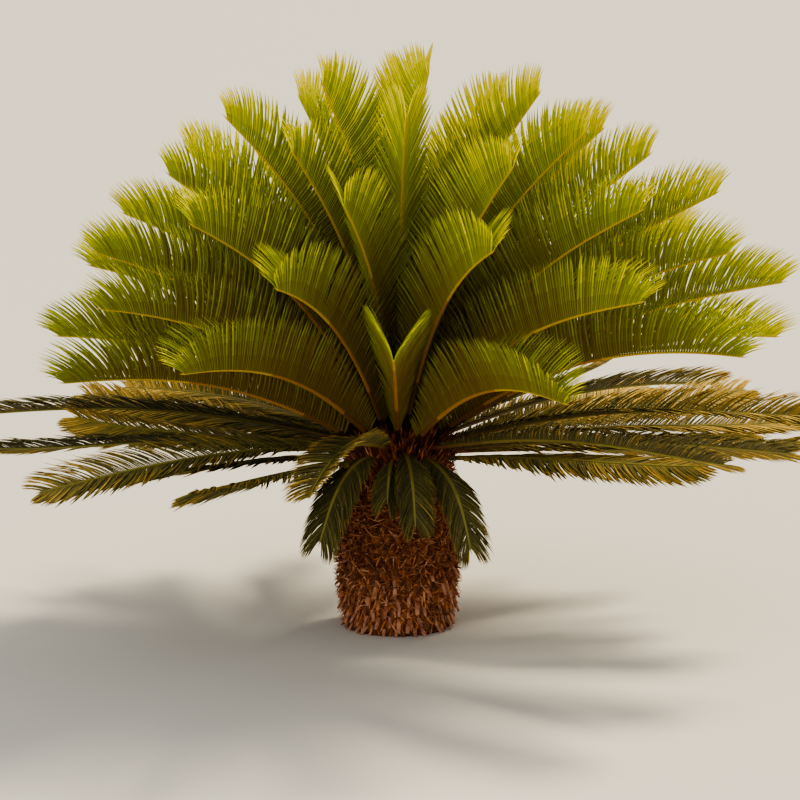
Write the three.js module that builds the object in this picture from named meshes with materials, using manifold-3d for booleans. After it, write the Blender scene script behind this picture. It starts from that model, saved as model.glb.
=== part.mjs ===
// A sago palm: a stout barrel of a trunk, knobbly with old leaf bases, under a dome of stiff arching
// fronds in two flushes. The young flush rises and bows outwards, the old one lies level below it, and a
// few short old fronds hang beside the trunk.
// Millimetres, +Z up. The origin is the middle of the flat cut under the trunk, at ground level.
import * as THREE from "three";
import { mergeVertices } from "three/addons/utils/BufferGeometryUtils.js";
import Module from "manifold-3d";

const wasm = await Module();
wasm.setup();
const degrees = THREE.MathUtils.degToRad;

// Trunk: a barrel up to its shoulder, and the low woolly dome that the fronds grow from
const FOOT_RADIUS = 152;
const BELLY_RADIUS = 166;
const BELLY_HEIGHT = 210;
const SHOULDER_RADIUS = 143;
const SHOULDER_HEIGHT = 470;
const DOME_RISE = 105;
const CUT_HUB = 40;
const KNOB_DEPTH = 7;
const KNOBS_ROUND = 14;
const KNOB_ROWS = 16;
const DOME_ROWS = 4;

// Crown: the fronds leave the dome along one spiral, the youngest in the middle
const GOLDEN_ANGLE = degrees(137.508);
const SPIRAL_START = degrees(307);
const SEAT_REACH = 134;
const ROOT_DEPTH = 14;
const SEAT_GAP = 0.35;

// One flush of fronds. The rise is a frond's mean elevation, first and last along the spiral, and the
// arch is how far it turns over from its foot to its tip. The sweep is the angle from rib to leaflet,
// low on the blade and towards its tip, where it narrows by the tip turn. A fold above 0 lifts the
// leaflets in a V, on the first frond and the last. The tip lift is its mean and how far it may differ, and
// below 0 it bows the tip. From the blunt share on the leaflets shorten in a round end. Fronds roll on
// their ribs, one one way and the next the other. The tip spray is how far the last leaflets reach past
// the rib's end. Each hanging frond has the share of its length that is left.
const YOUNG = {
  name: "young_frond",
  count: 50,
  perNode: 1,
  rise: [degrees(84), degrees(12.5)],
  arch: [degrees(30), degrees(29)],
  length: [964, 978],
  tipLift: [degrees(-1), degrees(6)],
  leaflet: [182, 177],
  sweep: [degrees(66), degrees(68)],
  fold: [degrees(62), degrees(58)],
  tipTurn: degrees(42),
  bluntFrom: 0.8,
  roll: 0,
  pitches: 11,
  tipSpray: 60,
  hanging: [],
  colour: 0x9aa01c,
};
const OLD = {
  name: "old_fronds",
  count: 32,
  perNode: 4,
  rise: [degrees(3.9), degrees(1)],
  arch: [degrees(24), degrees(4)],
  length: [1136, 765],
  tipLift: [degrees(11), degrees(12)],
  leaflet: [128, 125],
  sweep: [degrees(44), degrees(39)],
  fold: [degrees(20), degrees(-20)],
  tipTurn: degrees(16),
  bluntFrom: 0.84,
  roll: degrees(34),
  pitches: 10,
  tipSpray: 50,
  hanging: [[10, 0.3], [15, 0.43], [18, 0.4], [23, 0.22], [31, 0.24]],
  colour: 0x4f5a24,
};
const FLUSHES = [YOUNG, OLD];
const FROND_COUNT = FLUSHES.reduce((sum, flush) => sum + flush.count, 0);
const STALK_SHARE = 0.06;
const TIP_CROWDING = 0.85;
const TIP_TURN_POWER = 5;
const FIRST_LEAFLET = 0.3;
const LEAFLET_GAIN = 1.9;
const ROUNDING = 0.85;

// A hanging frond is a short one that drops from its foot and arches over further. Its leaflets are
// shorter too, by the share that is left of its length and this.
const HANG = degrees(56);
const HANG_DROP = 0.6;
const HANG_LEAFLET = 0.4;

// How far one frond may differ from its neighbours, and the seed of those differences
const SEED = 968;
const RISE_SPREAD = degrees(2.8);
const BEARING_SPREAD = degrees(3.8);
const SWAY_SPREAD = degrees(7);
const ROLL_SPREAD = degrees(9);
const LENGTH_SPREAD = 0.02;
const SUNWARD_REACH = 0.11;

// Rib: a flat top, thin edges that carry the leaflets, and a keel below
const RIB_WIDTH = [13, 4];
const RIB_KEEL = [8, 2];
const RIB_EDGE = [3.4, 2];
const FOOT_WIDTH = 20;
const FOOT_KEEL = 12;

// Leaflets: each solid one stands for a spray of the real ones
const LEAFLET_CLEARANCE = 1.2;
const SHORTER = [1, 0.75, 0.5];

// Wool between the feet of fronds that share a node
const WOOL_WIDTH = 9;
const WOOL_THICKNESS = 6;

const STEPS = 48;
const mix = THREE.MathUtils.lerp;
const Z = new THREE.Vector3(0, 0, 1);

// A repeatable number from -1 to 1 for a frond and a trait
function vary(frond, trait) {
  const n = Math.sin(frond * 12.9898 + (SEED + trait) * 78.233) * 43758.5453;
  return 2 * (n - Math.floor(n)) - 1;
}

// Radius of the trunk's barrel at a height
function barrelRadius(z) {
  if (z < BELLY_HEIGHT)
    return BELLY_RADIUS - (BELLY_RADIUS - FOOT_RADIUS) * ((BELLY_HEIGHT - z) / BELLY_HEIGHT) ** 2;
  const up = (z - BELLY_HEIGHT) / (SHOULDER_HEIGHT - BELLY_HEIGHT);
  return BELLY_RADIUS - (BELLY_RADIUS - SHOULDER_RADIUS) * up ** 2;
}

// Height of the dome at a radius
function domeHeight(radius) {
  return SHOULDER_HEIGHT + DOME_RISE * (1 - (radius / SHOULDER_RADIUS) ** 2);
}

// A closed mesh as a solid
function solidOf(vertices, triangles) {
  return new wasm.Manifold(
    new wasm.Mesh({
      numProp: 3,
      vertProperties: Float32Array.from(vertices.flatMap((v) => v.toArray())),
      triVerts: Uint32Array.from(triangles.flat()),
    }),
  );
}

// The same, for triangles that may all be wound inside out
function turnedOut(vertices, triangles) {
  const made = solidOf(vertices, triangles);
  return made.volume() > 0 ? made : solidOf(vertices, triangles.map(([a, b, c]) => [a, c, b]));
}

// A solid as a named mesh that has its own origin at a point
function meshOf(name, solid, origin, material) {
  const { vertProperties, triVerts } = solid.getMesh();
  const geometry = new THREE.BufferGeometry();
  geometry.setAttribute("position", new THREE.BufferAttribute(vertProperties, 3));
  geometry.setIndex(new THREE.BufferAttribute(triVerts, 1));
  geometry.translate(-origin.x, -origin.y, -origin.z);
  const mesh = new THREE.Mesh(mergeVertices(geometry, 1e-4), material);
  mesh.name = name;
  mesh.position.copy(origin);
  return mesh;
}

// The trunk, with every second corner of its barrel stood out as a leaf base. grow fattens it evenly.
// The faces of the flat cut meet at a hub off the middle, so that the middle lies well inside one face.
function trunkSolid(grow) {
  const around = 2 * KNOBS_ROUND;
  const off = Math.PI / around;
  const vertices = [new THREE.Vector3(CUT_HUB * Math.cos(off), CUT_HUB * Math.sin(off), 0)];
  const ring = (radiusAt, z) => {
    for (let i = 0; i < around; i++) {
      const turn = (2 * Math.PI * i) / around;
      const r = radiusAt(i);
      vertices.push(new THREE.Vector3(r * Math.cos(turn), r * Math.sin(turn), z));
    }
  };
  ring(() => FOOT_RADIUS + grow, 0);
  for (let row = 1; row <= KNOB_ROWS; row++) {
    const z = (SHOULDER_HEIGHT * row) / (KNOB_ROWS + 1);
    ring((i) => barrelRadius(z) + grow + ((i + row) % 2 ? KNOB_DEPTH : -KNOB_DEPTH), z);
  }
  for (let row = 0; row < DOME_ROWS; row++) {
    const radius = SHOULDER_RADIUS * (1 - row / DOME_ROWS);
    ring(() => radius + grow, domeHeight(radius) + grow);
  }
  vertices.push(new THREE.Vector3(0, 0, domeHeight(0) + grow));
  const rings = KNOB_ROWS + 1 + DOME_ROWS;
  const last = vertices.length - 1;
  const triangles = [];
  for (let i = 0; i < around; i++) {
    const next = (i + 1) % around;
    triangles.push([0, 1 + next, 1 + i]);
    for (let k = 0; k + 1 < rings; k++) {
      const [a, b] = [1 + k * around + i, 1 + k * around + next];
      const [c, d] = [a + around, b + around];
      if ((i + k) % 2) triangles.push([a, b, c], [b, d, c]);
      else triangles.push([a, b, d], [a, d, c]);
    }
    const top = 1 + (rings - 1) * around;
    triangles.push([top + i, top + next, last]);
  }
  return solidOf(vertices, triangles);
}

// The nth frond of a flush: where it sits on the dome, and how it grows. place counts along the spiral.
function frondOf(flush, n, place) {
  const share = n / (flush.count - 1);
  const turn = SPIRAL_START + place * GOLDEN_ANGLE;
  const seat = SEAT_REACH * Math.sqrt((place + 0.7) / FROND_COUNT);
  const [first, last] = flush.rise.map(Math.sin);
  const left = new Map(flush.hanging).get(n);
  const hang = left ? HANG : 0;
  const rise = Math.asin(mix(first, last, share)) + RISE_SPREAD * vary(place, 1) - HANG_DROP * hang;
  const arch = mix(flush.arch[0], flush.arch[1], Math.sqrt(share)) + hang;
  const bearing = turn + BEARING_SPREAD * vary(place, 2);
  const differs = 1 + LENGTH_SPREAD * vary(place, 5) + SUNWARD_REACH * Math.cos(bearing) * share;
  return {
    flush,
    foot: new THREE.Vector3(seat * Math.cos(turn), seat * Math.sin(turn), domeHeight(seat)),
    bearing,
    sway: SWAY_SPREAD * vary(place, 3),
    roll: flush.roll * (place % 2 ? -1 : 1) + ROLL_SPREAD * vary(place, 4),
    length: mix(flush.length[0], flush.length[1], share) * differs * (left ?? 1),
    tipLift: flush.tipLift[0] + flush.tipLift[1] * vary(place, 6),
    leaflet: mix(flush.leaflet[0], flush.leaflet[1], share) * (left ? HANG_LEAFLET + left : 1),
    fold: mix(flush.fold[0], flush.fold[1], share),
    footRise: rise + arch / 2,
    arch,
  };
}

// The frond's direction at a share of its length
function directionAt(frond, share) {
  const turned = frond.arch * THREE.MathUtils.smoothstep(share, 0, 1);
  const rise = frond.footRise - turned + frond.tipLift * share ** 5;
  const bearing = frond.bearing + frond.sway * share ** 2;
  return new THREE.Vector3(
    Math.cos(rise) * Math.cos(bearing),
    Math.cos(rise) * Math.sin(bearing),
    Math.sin(rise),
  );
}

// Point and axes of the rib at a share of its length: along it, across it, and out of its upper side
function ribAt(frond, share) {
  const point = frond.foot.clone();
  const reach = share * STEPS;
  for (let step = 0; step < reach; step++) {
    const part = Math.min(1, reach - step);
    point.addScaledVector(directionAt(frond, (step + part / 2) / STEPS), (part * frond.length) / STEPS);
  }
  const along = directionAt(frond, Math.max(share, 0));
  if (share < 0) point.addScaledVector(along, share * frond.length);
  const level = new THREE.Vector3(-Math.sin(frond.bearing), Math.cos(frond.bearing), 0);
  const upper = new THREE.Vector3().crossVectors(along, level).normalize();
  const across = new THREE.Vector3().crossVectors(upper, along).normalize();
  const turn = frond.roll * Math.max(share, 0);
  across.applyAxisAngle(along, turn);
  upper.applyAxisAngle(along, turn);
  return { point, along, across, upper };
}

// Leaflet length as a share of the longest one, from 0 at the stalk to 1 at the tip
function leafletShare(flush, blade) {
  const blunt = Math.max(0, (blade - flush.bluntFrom) / (1 - flush.bluntFrom));
  return Math.min(1, FIRST_LEAFLET + LEAFLET_GAIN * blade) * Math.sqrt(1 - ROUNDING * blunt ** 2);
}

// Shares of the length at which the rib has a section: its root in the wool, then each pitch
function sectionShares(frond) {
  const shares = [-ROOT_DEPTH / frond.length];
  for (let k = 0; k <= frond.flush.pitches; k++)
    shares.push(mix(STALK_SHARE, 1, (k / frond.flush.pitches) ** TIP_CROWDING));
  return shares;
}

// The five corners of the rib's section: left top, left bottom, keel, right bottom, right top
function ribSection(frond, share) {
  const { point, across, upper } = ribAt(frond, share);
  const blade = Math.max(0, share);
  const half = (share < 0 ? FOOT_WIDTH : mix(RIB_WIDTH[0], RIB_WIDTH[1], blade)) / 2;
  const edge = mix(RIB_EDGE[0], RIB_EDGE[1], blade);
  const keel = share < 0 ? FOOT_KEEL : mix(RIB_KEEL[0], RIB_KEEL[1], blade);
  const corner = (side, down) =>
    point.clone().addScaledVector(across, side * half).addScaledVector(upper, -down);
  return [corner(1, 0), corner(1, edge), corner(0, edge + keel), corner(-1, edge), corner(-1, 0)];
}

// Tip of the leaflet that stands on one side of a pitch
function leafletTip(frond, from, to, side, shorter) {
  const share = (from + to) / 2;
  const blade = (share - STALK_SHARE) / (1 - STALK_SHARE);
  const { point, along, across, upper } = ribAt(frond, share);
  const { flush, fold } = frond;
  const sweep = mix(flush.sweep[0], flush.sweep[1], blade) - flush.tipTurn * blade ** TIP_TURN_POWER;
  const out = across.clone().multiplyScalar(side * Math.cos(fold)).addScaledVector(upper, Math.sin(fold));
  const reach = frond.leaflet * leafletShare(flush, blade) * shorter;
  return point.addScaledVector(along, Math.cos(sweep) * reach).addScaledVector(out, Math.sin(sweep) * reach);
}

const TRUNK = trunkSolid(0);
const TRUNK_SEAT = trunkSolid(SEAT_GAP);

// Faces round a ring section, and a fan over the ring that ends the rib
const CORNERS = 5;
const WALLS = { left: 0, right: 3 };
function ringFaces(a, b, skipped) {
  const faces = [];
  for (let c = 0; c < CORNERS; c++) {
    const d = (c + 1) % CORNERS;
    if (!skipped.includes(c)) faces.push([a + c, b + c, b + d], [a + c, b + d, a + d]);
  }
  return faces;
}

// One pitch of bare rib, as a solid of its own for the clearance test
function ribPiece(near, far) {
  const faces = ringFaces(0, CORNERS, []);
  faces.push([0, 1, 4], [1, 3, 4], [1, 2, 3], [5, 9, 6], [6, 9, 8], [6, 8, 7]);
  return solidOf([...near, ...far], faces);
}

// A leaflet by itself, fattened by the clearance, for the test
function leafletPiece(near, far, wall, tip) {
  const corners = [near[wall], near[wall + 1], far[wall], far[wall + 1]];
  const middle = corners.reduce((sum, v) => sum.add(v), new THREE.Vector3()).multiplyScalar(0.25);
  const out = tip.clone().sub(middle).normalize();
  const down = corners[1].clone().sub(corners[0]).normalize();
  const along = corners[2].clone().sub(corners[0]).normalize();
  const fat = corners.map((v, i) =>
    v
      .clone()
      .addScaledVector(down, (i % 2 ? 1 : -1) * LEAFLET_CLEARANCE)
      .addScaledVector(along, (i < 2 ? -1 : 1) * LEAFLET_CLEARANCE),
  );
  const point = tip.clone().addScaledVector(out, LEAFLET_CLEARANCE);
  return turnedOut([...fat, point], [[0, 2, 4], [3, 1, 4], [1, 0, 4], [2, 3, 4], [0, 1, 3], [0, 3, 2]]);
}

// Pieces that are in place, with their boxes, and whether a new one would meet another frond's
const placed = [];
function keep(frond, solid) {
  placed.push({ frond, solid, box: solid.boundingBox() });
}
function meetsAnother(frond, solid) {
  const { min, max } = solid.boundingBox();
  return placed.some(
    (other) =>
      other.frond !== frond &&
      [0, 1, 2].every((k) => min[k] < other.box.max[k] && max[k] > other.box.min[k]) &&
      !solid.intersect(other.solid).isEmpty(),
  );
}

const fronds = [];
for (const flush of FLUSHES)
  for (let n = 0; n < flush.count; n++) fronds.push(frondOf(flush, n, fronds.length));
for (const frond of fronds) {
  frond.shares = sectionShares(frond);
  frond.sections = frond.shares.map((share) => ribSection(frond, share));
  for (let k = 0; k + 1 < frond.sections.length; k++)
    keep(frond, ribPiece(frond.sections[k], frond.sections[k + 1]));
}
keep(null, trunkSolid(LEAFLET_CLEARANCE));

// The leaflets of a frond that clear every other frond, each shortened until it does, or left out
function growLeaflets(frond) {
  frond.leaflets = [];
  for (let k = 1; k + 1 < frond.sections.length; k++)
    for (const [name, side] of [["left", 1], ["right", -1]]) {
      const wall = WALLS[name];
      for (const shorter of SHORTER) {
        const tip = leafletTip(frond, frond.shares[k], frond.shares[k + 1], side, shorter);
        const piece = leafletPiece(frond.sections[k], frond.sections[k + 1], wall, tip);
        if (meetsAnother(frond, piece)) continue;
        keep(frond, piece);
        frond.leaflets.push({ k, wall, tip });
        break;
      }
    }
}

// A frond as one closed mesh: the rib, each leaflet drawn out of the rib's thin wall, and a tip spray
function frondSolid(frond) {
  const vertices = frond.sections.flat();
  const faces = [];
  for (let k = 0; k + 1 < frond.sections.length; k++) {
    const [a, b] = [k * CORNERS, (k + 1) * CORNERS];
    const grown = frond.leaflets.filter((leaflet) => leaflet.k === k);
    faces.push(...ringFaces(a, b, grown.map((leaflet) => leaflet.wall)));
    for (const { wall, tip } of grown) {
      const t = vertices.push(tip) - 1;
      const [p, q, r, s] = [a + wall, b + wall, b + wall + 1, a + wall + 1];
      faces.push([p, q, t], [q, r, t], [r, s, t], [s, p, t]);
    }
  }
  faces.push([0, 1, 4], [1, 3, 4], [1, 2, 3]);
  const end = ribAt(frond, 1);
  const t = vertices.push(end.point.addScaledVector(end.along, frond.flush.tipSpray)) - 1;
  const ring = (frond.sections.length - 1) * CORNERS;
  for (let c = 0; c < CORNERS; c++) faces.push([ring + c, t, ring + ((c + 1) % CORNERS)]);
  return solidOf(vertices, faces);
}

// A pad of wool on the dome from one frond's foot to another's
function woolPad(a, b) {
  const from = a.foot.clone();
  const to = b.foot.clone();
  const along = to.clone().sub(from).normalize();
  const out = from.clone().add(to).setZ(0).normalize().add(Z).normalize();
  const across = new THREE.Vector3().crossVectors(along, out).normalize();
  const up = new THREE.Vector3().crossVectors(across, along).normalize();
  const ring = (at) =>
    [[-1, -1], [1, -1], [1, 1], [-1, 1]].map(([x, z]) =>
      at
        .clone()
        .addScaledVector(across, (x * WOOL_WIDTH) / 2)
        .addScaledVector(up, z > 0 ? WOOL_THICKNESS : -WOOL_THICKNESS),
    );
  const faces = [[0, 1, 2], [0, 2, 3], [4, 6, 5], [4, 7, 6]];
  for (let c = 0; c < 4; c++) {
    const d = (c + 1) % 4;
    faces.push([c, 4 + c, 4 + d], [c, 4 + d, d]);
  }
  return turnedOut([...ring(from), ...ring(to)], faces);
}

// The scene: the trunk on the ground, and the crown's group on its shoulder
const palm = new THREE.Group();
const bark = new THREE.MeshStandardMaterial({ color: 0x5a3420, roughness: 0.95, metalness: 0 });
palm.add(meshOf("trunk", TRUNK, new THREE.Vector3(), bark));
const shoulder = new THREE.Vector3(0, 0, SHOULDER_HEIGHT);
const crown = new THREE.Group();
crown.position.copy(shoulder);
palm.add(crown);

fronds.forEach(growLeaflets);
for (const flush of FLUSHES) {
  const leaf = new THREE.MeshStandardMaterial({ color: flush.colour, roughness: 0.5, metalness: 0 });
  const grown = fronds.filter((frond) => frond.flush === flush);
  const nodes = flush.count / flush.perNode;
  for (let n = 0; n < nodes; n++) {
    // Fronds that share a node are neighbours on the dome, one row of the spiral apart
    const sharing = grown.filter((_, place) => place % nodes === n);
    let solid = frondSolid(sharing[0]);
    for (let k = 1; k < sharing.length; k++)
      solid = solid.add(frondSolid(sharing[k])).add(woolPad(sharing[k - 1], sharing[k]));
    const name = `${flush.name}_${String(n + 1).padStart(2, "0")}`;
    const mesh = meshOf(name, solid.subtract(TRUNK_SEAT), sharing[0].foot, leaf);
    mesh.position.sub(shoulder);
    crown.add(mesh);
  }
}

export default palm;
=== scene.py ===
"""The looks of a sago palm: a shaggy barrel of a trunk under a dome of stiff arching fronds.

Metres, +Z up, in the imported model's frame. The fronds grow by the same rule as in the part's source, carried
on to fine leaflets. The trunk gets its bark, cut leaf bases, dry scales, fibres and wool.
"""

import logging
import math
from dataclasses import dataclass
from enum import Enum, IntEnum
from typing import Union

import bmesh
import bpy
import numpy as np
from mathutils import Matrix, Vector, noise


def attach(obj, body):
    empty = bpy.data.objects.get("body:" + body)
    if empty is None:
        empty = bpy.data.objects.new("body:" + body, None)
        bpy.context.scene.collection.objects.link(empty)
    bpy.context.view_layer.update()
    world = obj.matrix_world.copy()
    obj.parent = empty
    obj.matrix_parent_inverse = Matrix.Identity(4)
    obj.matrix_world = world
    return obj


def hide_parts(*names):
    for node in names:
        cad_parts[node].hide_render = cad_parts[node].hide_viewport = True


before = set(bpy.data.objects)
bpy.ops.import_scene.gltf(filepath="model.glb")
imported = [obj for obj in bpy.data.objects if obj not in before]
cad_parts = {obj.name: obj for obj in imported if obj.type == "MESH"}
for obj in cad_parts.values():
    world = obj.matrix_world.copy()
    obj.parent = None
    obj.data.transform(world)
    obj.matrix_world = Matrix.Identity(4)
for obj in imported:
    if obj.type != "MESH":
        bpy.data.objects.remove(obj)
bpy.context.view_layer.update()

LOG = logging.getLogger("sago_palm")
BODY = "root"
MM = 0.001
UP = np.array([0.0, 0.0, 1.0])
Colour = tuple[float, float, float]
Numbers = Union[float, np.ndarray]

# Trunk, as in the source
FOOT_RADIUS = 152 * MM
BELLY_RADIUS = 166 * MM
BELLY_HEIGHT = 210 * MM
SHOULDER_RADIUS = 143 * MM
SHOULDER_HEIGHT = 470 * MM
DOME_RISE = 105 * MM

# Crown, as in the source
GOLDEN_ANGLE = math.radians(137.508)
SPIRAL_START = math.radians(307)
SEAT_REACH = 134 * MM
FIRST_SEAT = 0.7
ROOT_DEPTH = 14 * MM
HANG = math.radians(56)
HANG_DROP = 0.6
HANG_LEAFLET = 0.4
STALK_SHARE = 0.06
TIP_CROWDING = 0.85
TIP_TURN_POWER = 5
TIP_LIFT_POWER = 5
SWAY_POWER = 2
FIRST_LEAFLET = 0.3
LEAFLET_GAIN = 1.9
ROUNDING = 0.85
STEPS = 48

# How much further a hanging frond's leaflets fold back than in the source
HANG_FOLD = math.radians(34)

# How far one frond may differ from its neighbours, and the seed of those differences
SEED = 968
RISE_SPREAD = math.radians(2.8)
BEARING_SPREAD = math.radians(3.8)
SWAY_SPREAD = math.radians(7)
ROLL_SPREAD = math.radians(9)
LENGTH_SPREAD = 0.02
SUNWARD_REACH = 0.11
PLACE_STEP = 12.9898
TRAIT_STEP = 78.233
SCATTER = 43758.5453
SEED_STEP = 1000

# Rib, as in the source
RIB_WIDTH = (13 * MM, 4 * MM)
RIB_DEPTH = (11.4 * MM, 4 * MM)
FOOT_FLARE = 3.5 * MM
FLARE_SHARE = 0.03

# Bark: how deep its core lies, its rows of leaf bases, how far its bristle stands out, its gap to the ground
CORE_DEPTH = 7 * MM
BASES_ROUND = 34
ROW_RISE = 30 * MM
BRISTLE_DEPTH = 17 * MM
GROUND_GAP = 0.5 * MM


class Trait(IntEnum):
    """What differs from frond to frond, or from patch of wool to patch."""

    RISE = 1
    BEARING = 2
    SWAY = 3
    ROLL = 4
    LENGTH = 5
    TIP_LIFT = 6
    WOOL_SIZE = 8
    WOOL_HEIGHT = 9


def mix(start: Numbers, end: Numbers, share: Numbers) -> Numbers:
    """The value at a share of the way from start to end."""
    return start + (end - start) * share


def smoothstep(share: np.ndarray) -> np.ndarray:
    """The smooth rise from 0 to 1 of a share, held flat outside."""
    held = np.clip(share, 0, 1)
    return held * held * (3 - 2 * held)


def vary(place: int, trait: Trait) -> float:
    """A repeatable number from -1 to 1 for a place and a trait, as in the source."""
    turned = math.sin(place * PLACE_STEP + (SEED + trait) * TRAIT_STEP) * SCATTER
    return 2 * (turned - math.floor(turned)) - 1


def unit(rows: np.ndarray) -> np.ndarray:
    """The rows of an array, each at length 1."""
    return rows / np.linalg.norm(rows, axis=-1, keepdims=True)


def barrel_radius(z: float) -> float:
    """Works out the radius of the trunk's barrel.

    Args:
        z: a height.

    Returns:
        The radius there.
    """
    if z < BELLY_HEIGHT:
        return BELLY_RADIUS - (BELLY_RADIUS - FOOT_RADIUS) * ((BELLY_HEIGHT - z) / BELLY_HEIGHT) ** 2
    up = (z - BELLY_HEIGHT) / (SHOULDER_HEIGHT - BELLY_HEIGHT)
    return BELLY_RADIUS - (BELLY_RADIUS - SHOULDER_RADIUS) * up**2


def dome_height(radius: float) -> float:
    """Height of the dome over the trunk's shoulder at a radius."""
    return SHOULDER_HEIGHT + DOME_RISE * (1 - (radius / SHOULDER_RADIUS) ** 2)


class Wave:
    """A number socket in a material, on which Python's operators add Math nodes."""

    def __init__(self, shader: "Shader", socket: bpy.types.NodeSocket) -> None:
        """Wraps a socket of a shader's nodes."""
        self.shader = shader
        self.socket = socket

    def _math(self, operation: str, first: "Operand", second: "Operand") -> "Wave":
        """Adds a Math node.

        Args:
            operation: the Math node's operation.
            first: its first value.
            second: its second value.

        Returns:
            The node's result.
        """
        made = self.shader.node("ShaderNodeMath", {"operation": operation}, {0: first, 1: second})
        return Wave(self.shader, made.outputs[0])

    def __add__(self, other: "Operand") -> "Wave":
        """The sum."""
        return self._math("ADD", self, other)

    def __sub__(self, other: "Operand") -> "Wave":
        """The difference."""
        return self._math("SUBTRACT", self, other)

    def __rsub__(self, other: "Operand") -> "Wave":
        """The difference, this one taken off."""
        return self._math("SUBTRACT", other, self)

    def __mul__(self, other: "Operand") -> "Wave":
        """The product."""
        return self._math("MULTIPLY", self, other)

    __radd__ = __add__
    __rmul__ = __mul__


Operand = Union[Wave, float]
Stops = list[tuple[float, Colour]]


class Shader:
    """One material's nodes round a Principled shader."""

    def __init__(self, name: str) -> None:
        """Starts an empty material with its shader and output.

        Args:
            name: the material's name.
        """
        self.material = bpy.data.materials.new(name)
        self.material.use_nodes = True
        self.nodes = self.material.node_tree.nodes
        self.nodes.clear()
        self.surface = self.node("ShaderNodeBsdfPrincipled", {}, {})
        self.node("ShaderNodeOutputMaterial", {}, {"Surface": self.surface.outputs["BSDF"]})

    def node(self, kind: str, settings: dict, sockets: dict) -> bpy.types.Node:
        """Adds one node.

        Args:
            kind: the node's type.
            settings: its properties, set first. "stops" gives a ramp's places and colours.
            sockets: values, Waves or sockets for its inputs, by name or number.

        Returns:
            The node.
        """
        made = self.nodes.new(kind)
        for key, value in settings.items():
            if key == "stops":
                self._ramp(made.color_ramp, value)
            else:
                setattr(made, key, value)
        for key, value in sockets.items():
            self.join(made.inputs[key], value)
        return made

    @staticmethod
    def _ramp(ramp: bpy.types.ColorRamp, stops: Stops) -> None:
        """Gives a ramp its stops.

        Args:
            ramp: the ramp of a new node.
            stops: its places and colours.
        """
        while len(ramp.elements) < len(stops):
            ramp.elements.new(0.5)
        for element, (place, colour) in zip(ramp.elements, stops):
            element.position = place
            element.color = (*colour, 1)

    def join(self, target: bpy.types.NodeSocket, value: object) -> None:
        """Links a Wave or socket to an input, or sets a plain value on it.

        Args:
            target: the input.
            value: what it gets.
        """
        if isinstance(value, Wave):
            value = value.socket
        if isinstance(value, bpy.types.NodeSocket):
            self.material.node_tree.links.new(value, target)
        elif isinstance(value, tuple) and target.type == "RGBA":
            target.default_value = (*value, 1)
        else:
            target.default_value = value

    def dress(self, **inputs: object) -> None:
        """Sets or links the Principled shader's inputs, by name with _ for a space."""
        for key, value in inputs.items():
            self.join(self.surface.inputs[key.replace("_", " ")], value)

    def place(self) -> bpy.types.NodeSocket:
        """The point on the piece, in its own coordinates."""
        return self.node("ShaderNodeTexCoord", {}, {}).outputs["Object"]

    def noise(self, scale: float, detail: float = 3, at: bpy.types.NodeSocket | None = None) -> Wave:
        """Adds a noise over the piece.

        Args:
            scale: how many of its waves fit in a metre.
            detail: how many finer layers it has.
            at: the vector it is read at, or None for the place on the piece.

        Returns:
            The noise, about 0.5 on average.
        """
        vector = self.place() if at is None else at
        sockets = {"Vector": vector, "Scale": scale, "Detail": detail}
        made = self.node("ShaderNodeTexNoise", {"noise_dimensions": "3D"}, sockets)
        return Wave(self, made.outputs[0])

    def stretched(self, scale: tuple[float, float, float]) -> bpy.types.NodeSocket:
        """The place on the piece, stretched along its axes."""
        made = self.node("ShaderNodeVectorMath", {"operation": "MULTIPLY"}, {0: self.place(), 1: scale})
        return made.outputs[0]

    def ramp(self, value: Wave, stops: Stops) -> bpy.types.NodeSocket:
        """Colours dealt along a value."""
        return self.node("ShaderNodeValToRGB", {"stops": stops}, {"Fac": value}).outputs["Color"]

    def relief(self, height: Wave, depth: float, strength: float) -> None:
        """Bumps the surface by a height.

        Args:
            height: the height, from 0 to 1.
            depth: how far 1 stands out, in metres.
            strength: the share of it that shows.
        """
        sockets = {"Height": height, "Distance": depth, "Strength": strength}
        made = self.node("ShaderNodeBump", {}, sockets)
        self.dress(Normal=made.outputs["Normal"])


@dataclass(frozen=True)
class LeafFinish:
    """One tint of living leaf: a plain colour under a waxy skin whose gloss wanders a little."""

    name: str
    colour: Colour
    roughness: float = 0.5
    gloss: float = 0.3
    wander: float = 0.16
    grain: float = 90.0
    ripple: float = 0.5 * MM
    ripple_strength: float = 0.4

    def material(self) -> bpy.types.Material:
        """Makes the material.

        Returns:
            The material.
        """
        shader = Shader(self.name)
        skin = shader.noise(self.grain)
        shader.dress(Base_Color=self.colour, Roughness=self.roughness + self.wander * (skin - 0.5))
        shader.dress(Specular_IOR_Level=self.gloss)
        shader.relief(skin, self.ripple, self.ripple_strength)
        return shader.material


@dataclass(frozen=True)
class DryFinish:
    """Dead papery or woody tissue: browns mottled by a coarse noise and a fine grain."""

    name: str
    dark: Colour
    light: Colour
    dark_to: float = 0.36
    light_from: float = 0.66
    mottle: float = 60.0
    grain: float = 900.0
    grain_share: float = 0.3
    roughness: float = 0.85
    wander: float = 0.1
    ripple: float = 0.6 * MM
    ripple_strength: float = 0.5

    def material(self) -> bpy.types.Material:
        """Makes the material.

        Returns:
            The material.
        """
        shader = Shader(self.name)
        fine = shader.noise(self.grain, detail=2)
        tone = shader.noise(self.mottle, detail=4) * (1 - self.grain_share) + fine * self.grain_share
        colour = shader.ramp(tone, [(self.dark_to, self.dark), (self.light_from, self.light)])
        shader.dress(Base_Color=colour, Roughness=self.roughness + self.wander * (fine - 0.5))
        shader.relief(fine, self.ripple, self.ripple_strength)
        return shader.material


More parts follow.
